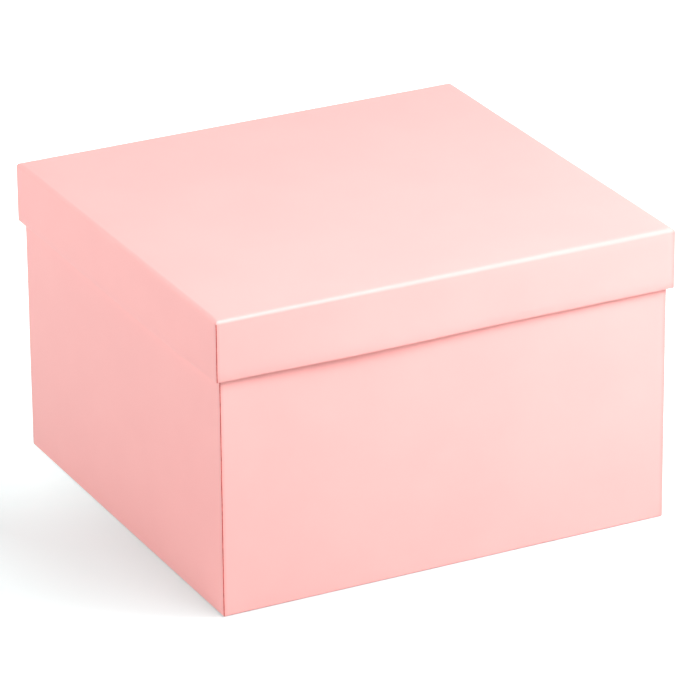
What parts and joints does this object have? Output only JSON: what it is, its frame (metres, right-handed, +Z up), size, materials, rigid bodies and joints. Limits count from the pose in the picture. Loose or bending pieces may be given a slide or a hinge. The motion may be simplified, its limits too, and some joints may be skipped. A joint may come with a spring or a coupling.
{
  "type": "flower box",
  "caption": "Rectangular rigid set-up box with a lift-off lid, wrapped in pearl pink paper, for giving or storing flowers and gifts.",
  "frame": {"origin": "middle of the underside of the base, on the surface that the box stands on", "axes": "+Z up, out of the base's open top; +X to the right along the long walls; +Y to the back; the front is the long wall at -Y"},
  "size_m": [0.3068, 0.2872, 0.1924],
  "materials": {
    "wrap_paper": "pearl pink coated wrapping paper, smooth, satin",
    "grey_board": "uncoated solid grey board",
    "lining_paper": "plain white uncoated lining paper",
    "stay_tape": "gummed kraft paper tape"
  },
  "bodies": {
    "base": {"base_board": "grey_board", "base_wrap": "wrap_paper", "base_wall_lining": "lining_paper", "base_floor_lining": "lining_paper", "base_stay_front_left": "stay_tape", "base_stay_front_right": "stay_tape", "base_stay_back_right": "stay_tape", "base_stay_back_left": "stay_tape"},
    "lid": {"lid_board": "grey_board", "lid_wrap": "wrap_paper", "lid_lining": "lining_paper", "lid_stay_front_left": "stay_tape", "lid_stay_front_right": "stay_tape", "lid_stay_back_right": "stay_tape", "lid_stay_back_left": "stay_tape"}
  },
  "joints": [
    {"name": "lid_lift", "type": "slide", "parent": "base", "child": "lid", "axis": [0, 0, 1], "range_m": [0, 0.08]}
  ]
}
